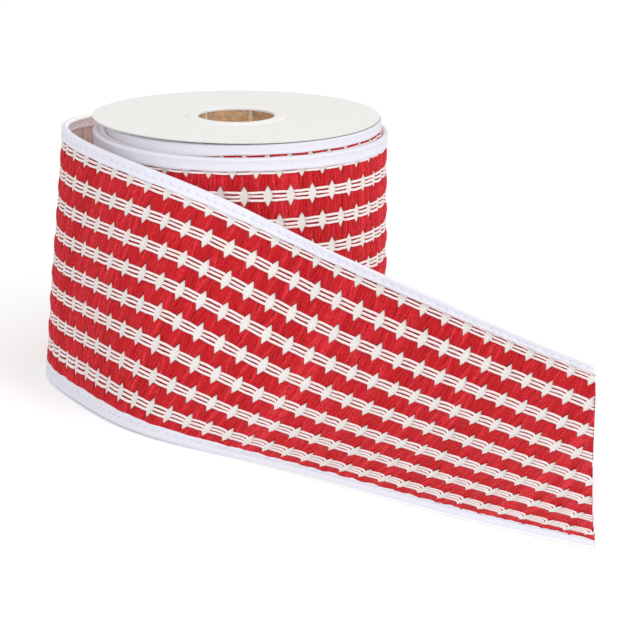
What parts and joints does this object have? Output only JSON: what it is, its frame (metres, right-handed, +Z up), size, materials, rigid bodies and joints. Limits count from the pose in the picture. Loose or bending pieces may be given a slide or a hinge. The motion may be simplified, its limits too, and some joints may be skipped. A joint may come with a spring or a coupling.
{
  "type": "ribbon roll",
  "caption": "Roll of wide wired ribbon, red yarn rows with white stitched bars and white bound edges, on a paperboard spool with its loose end drawn out.",
  "frame": {"origin": "middle of the whole part's outline, on the floor", "axes": "+Z up along the spool's axis; the picture looks along +Y from the side where the loose end lies, and +X is to its right"},
  "size_m": [0.2188, 0.3094, 0.1068],
  "materials": {
    "cloth": "matte cotton yarn",
    "binding": "smooth folded tape",
    "board": "matte white paperboard",
    "kraft": "matte brown board"
  },
  "bodies": {
    "root": {"flange_top": "board", "flange_bottom": "board", "core_tube": "kraft", "wound_cloth": "cloth", "wound_binding_top": "binding", "wound_binding_bottom": "binding", "loose_cloth": "cloth", "loose_binding_top": "binding", "loose_binding_bottom": "binding"}
  },
  "joints": []
}
